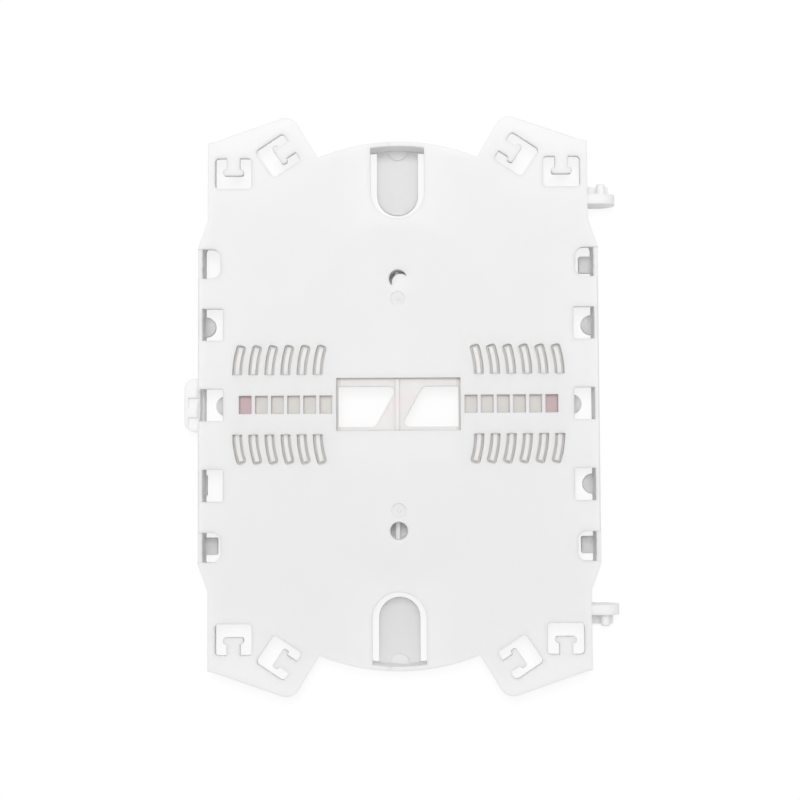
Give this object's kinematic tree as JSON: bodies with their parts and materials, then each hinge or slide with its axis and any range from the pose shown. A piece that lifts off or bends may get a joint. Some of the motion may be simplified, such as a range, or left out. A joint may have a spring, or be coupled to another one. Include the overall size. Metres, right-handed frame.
{
  "type": "fibre splice tray",
  "caption": "Flat moulded tray that stores loops of optical fibre and holds splices in spring-fingered channels, with tie lugs, retaining tabs, a finger latch and hinge pins.",
  "frame": {"origin": "under the middle of the overall box, on the surface that the rim rests on", "axes": "+X across the tray from the latch to the hinge pins, +Y along the tray, +Z out of the flat back of the base"},
  "size_m": [0.1172, 0.1566, 0.008],
  "materials": {
    "tray_plastic": "fine satin, as moulded",
    "holder_plastic": "translucent, satin"
  },
  "bodies": {
    "root": {"tray": "tray_plastic", "splice_holder": "holder_plastic"}
  },
  "joints": []
}
